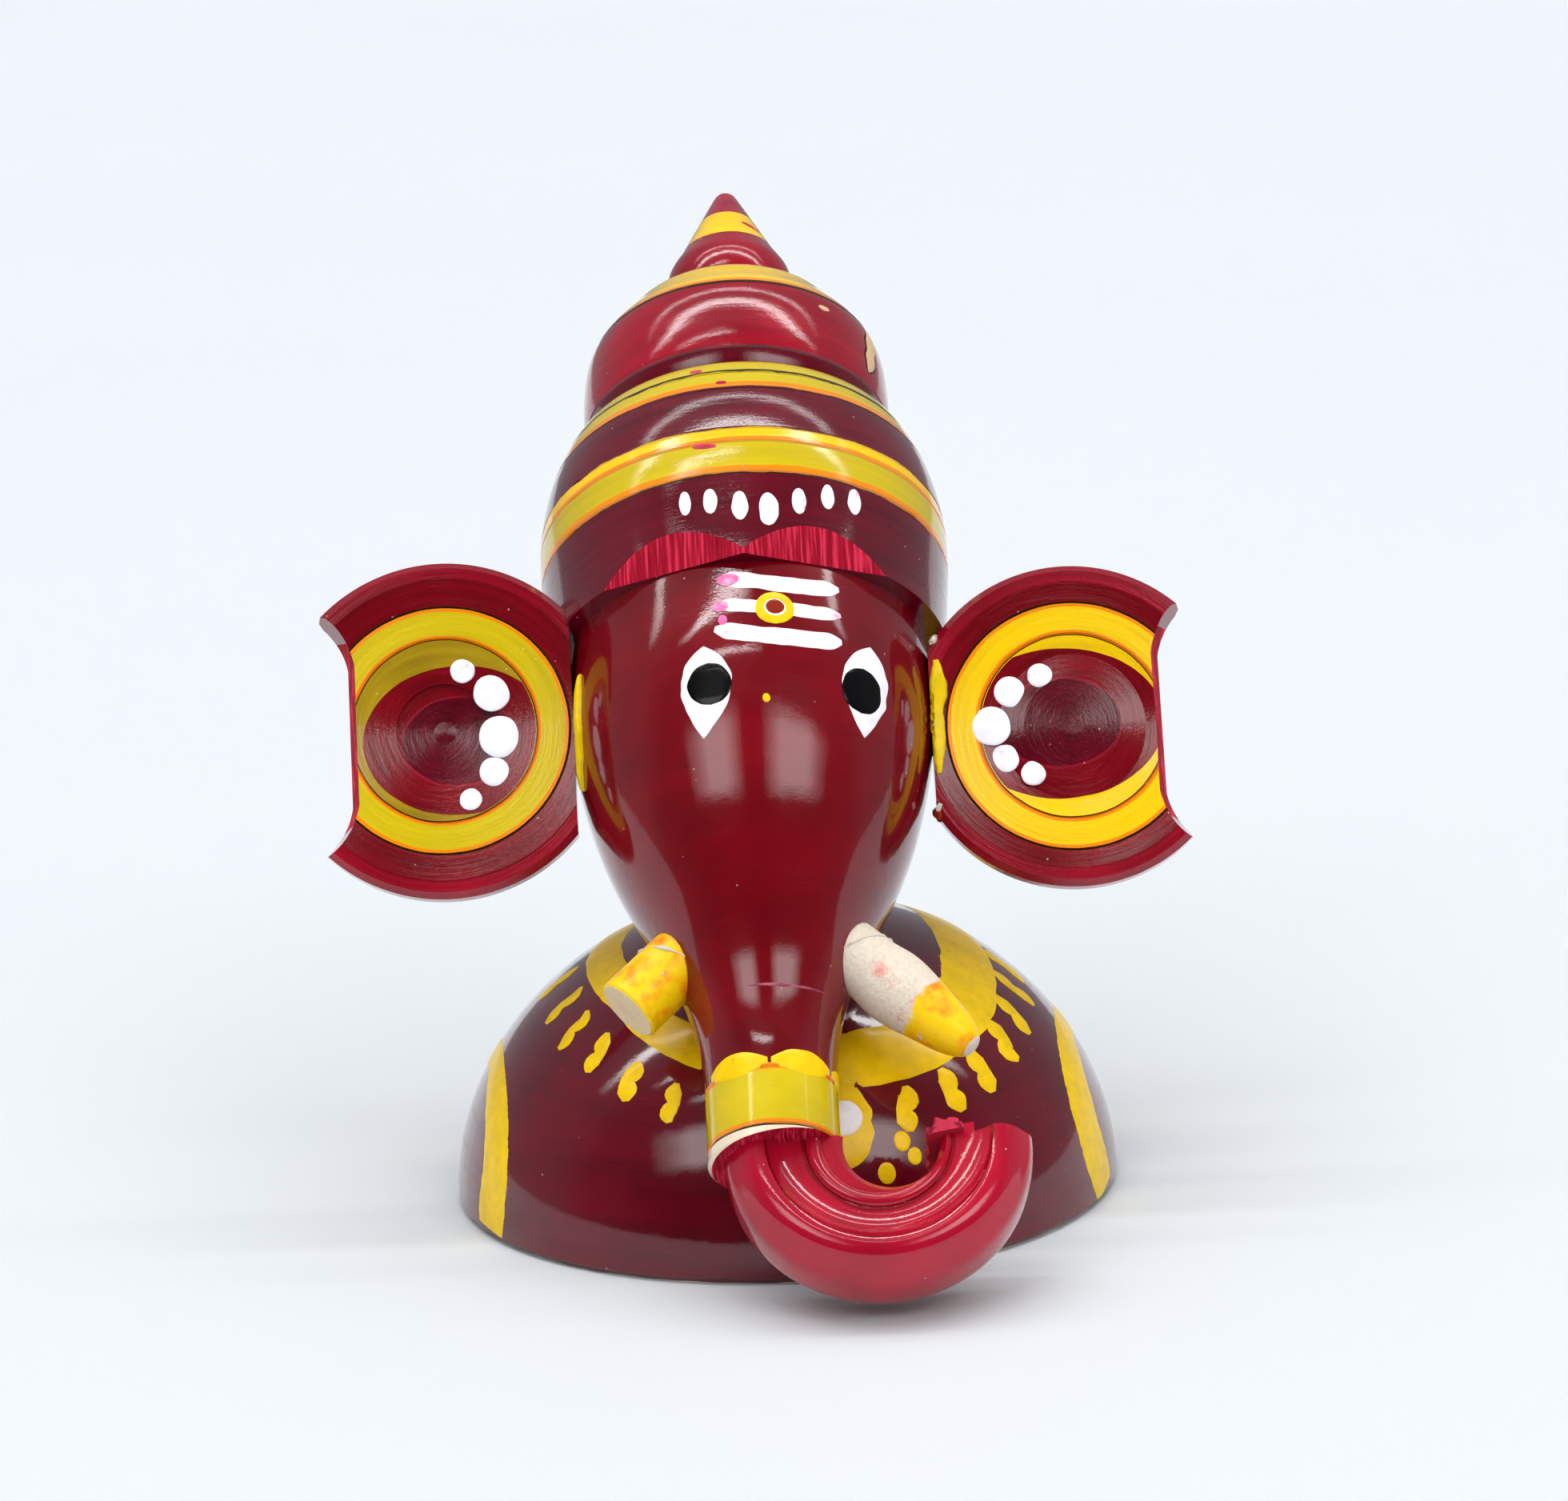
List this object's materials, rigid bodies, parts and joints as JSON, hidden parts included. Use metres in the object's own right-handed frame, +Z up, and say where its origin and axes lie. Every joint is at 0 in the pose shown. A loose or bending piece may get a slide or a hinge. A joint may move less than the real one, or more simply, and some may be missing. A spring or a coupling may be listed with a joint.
{
  "type": "ganesha idol",
  "caption": "Elephant-headed devotional figure turned in lacquered wood, with a leaning head and tiered crown on a half-dome body, dished ears, tusks and a curled trunk.",
  "frame": {"origin": "centre of the dome body's flat base, on the surface the figure stands on", "axes": "+Z up; the face looks towards -Y; +X to the viewer's right; the head's turned axis leans back 45 degrees from +Z towards +Y"},
  "size_m": [0.0764, 0.0844, 0.0856],
  "materials": {
    "body_lacquer": "polished maroon lacquer, yellow painted necklace",
    "head_lacquer": "polished deep red lacquer, yellow trunk band",
    "crown_lacquer": "polished red lacquer with yellow turned bands",
    "ear_left_lacquer": "red lacquer with yellow ring, bare cut edges",
    "ear_right_lacquer": "red lacquer with yellow ring, bare cut edges",
    "tusk_short_paint": "yellow paint, bare cut end",
    "tusk_long_paint": "chalky cream paint, yellow towards the tip",
    "curl_lacquer": "glossy bright red lacquer, rough snapped end",
    "bare_dowel": "bare turned wood",
    "bamboo_pin": "split bamboo"
  },
  "bodies": {
    "root": {"body_dome": "body_lacquer", "head_trunk": "head_lacquer", "crown": "crown_lacquer", "ear_left": "ear_left_lacquer", "ear_right": "ear_right_lacquer", "tusk_short": "tusk_short_paint", "tusk_long": "tusk_long_paint", "trunk_curl": "curl_lacquer", "neck_dowel": "bare_dowel", "crown_dowel": "bare_dowel", "curl_pin": "bamboo_pin", "ear_pin_left": "bamboo_pin", "ear_pin_right": "bamboo_pin"}
  },
  "joints": []
}
